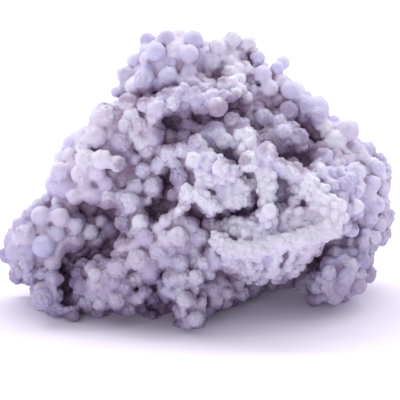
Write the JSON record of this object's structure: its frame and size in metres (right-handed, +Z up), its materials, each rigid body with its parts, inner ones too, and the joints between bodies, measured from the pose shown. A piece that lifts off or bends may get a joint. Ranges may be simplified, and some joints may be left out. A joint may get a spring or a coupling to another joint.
{
  "type": "botryoidal chalcedony",
  "caption": "Free-standing cluster of purple botryoidal chalcedony: one grown stone of small fused balls, with ledges, caves, a sugary ridge and an arch at the front.",
  "frame": {"origin": "middle of the underside of the stone's box, at the height of the surface it stands on", "axes": "+X to the right seen from the front, along the longest side; +Y from the front to the back; +Z up"},
  "size_m": [0.0806, 0.0524, 0.0534],
  "materials": {
    "chalcedony": "satin"
  },
  "bodies": {
    "root": {"chalcedony": "chalcedony"}
  },
  "joints": []
}
